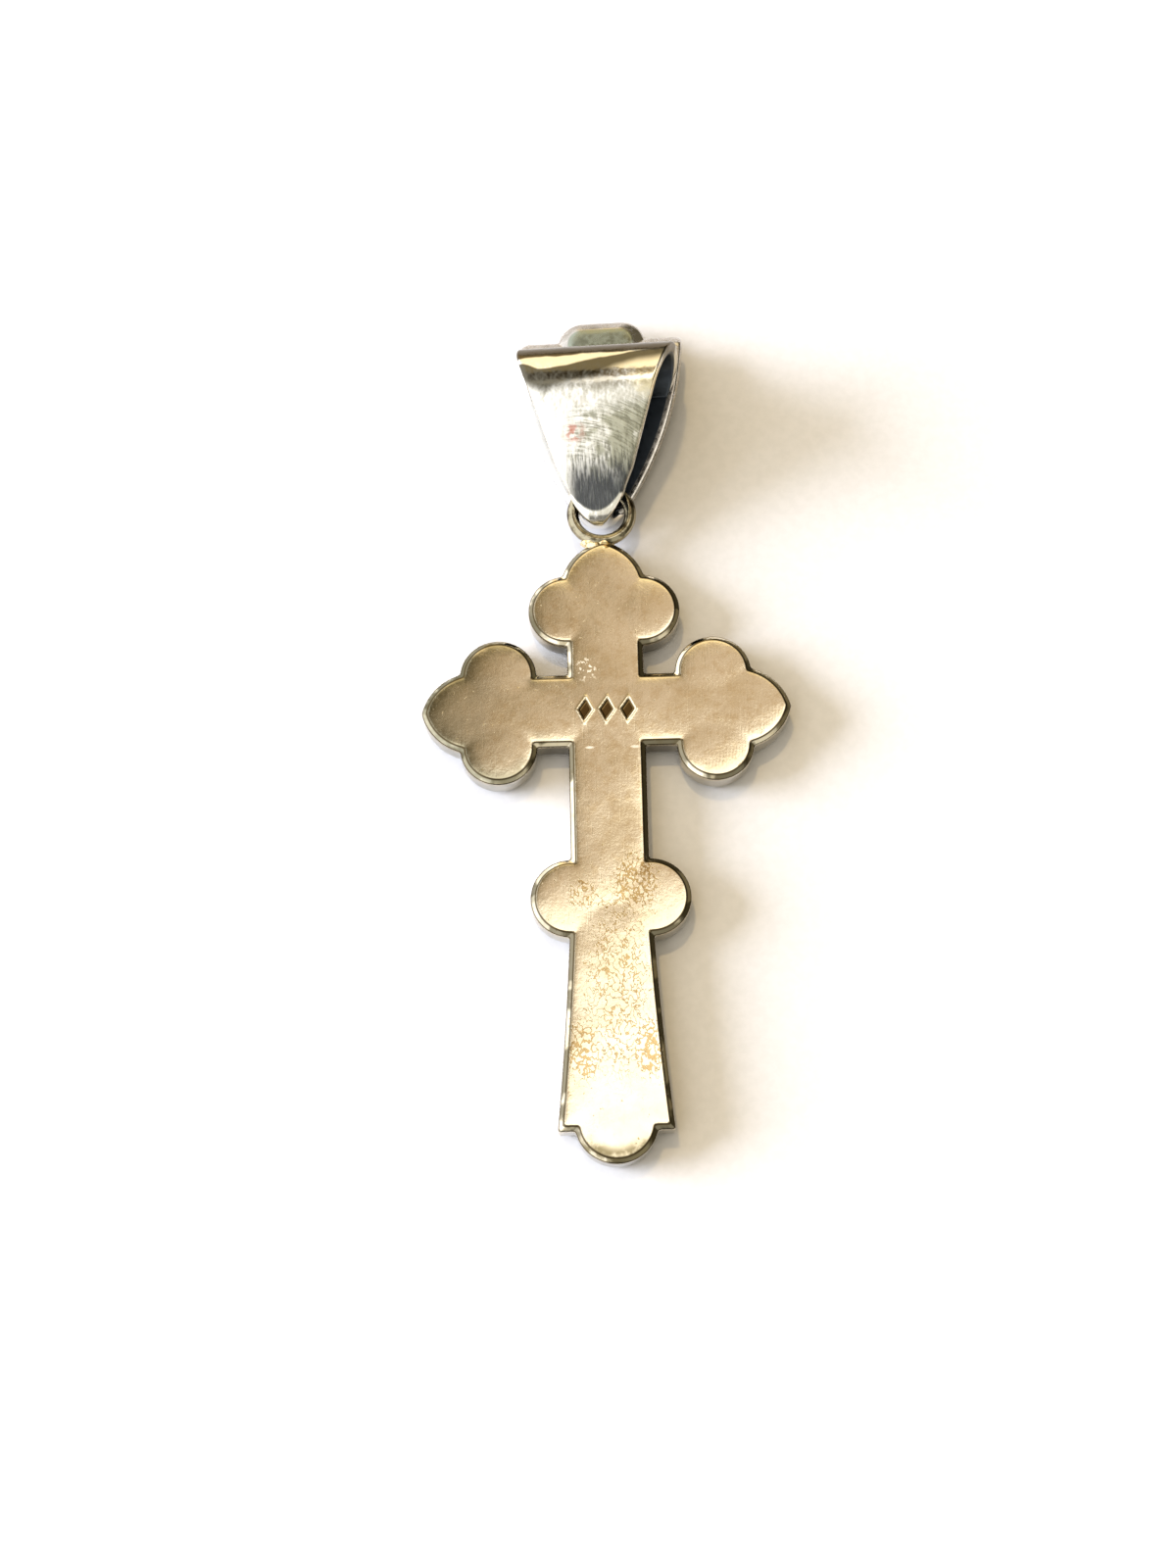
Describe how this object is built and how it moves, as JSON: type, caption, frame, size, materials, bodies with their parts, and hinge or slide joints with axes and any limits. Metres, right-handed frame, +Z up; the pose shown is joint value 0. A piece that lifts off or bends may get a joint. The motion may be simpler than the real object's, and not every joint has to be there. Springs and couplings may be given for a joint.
{
  "type": "cross pendant with folded bail",
  "caption": "Flat metal cross pendant with trefoil ends, waist lobes and flared leg, lying face down, with a soldered ring and a loose tapered bail folded through it.",
  "frame": {"origin": "middle of the outline seen from above, on the surface that the pendant lies on", "axes": "+Y along the cross's upright towards the bail, +X across the arms, +Z up from the surface through the back face; the decorated front faces -Z"},
  "size_m": [0.0212, 0.0516, 0.0064],
  "materials": {
    "polished_silver": "worn polish, slightly warm",
    "brushed_silver": "satin brushed lengthwise, polished roll and edges"
  },
  "bodies": {
    "root": {"cross": "polished_silver", "bail": "brushed_silver"}
  },
  "joints": []
}
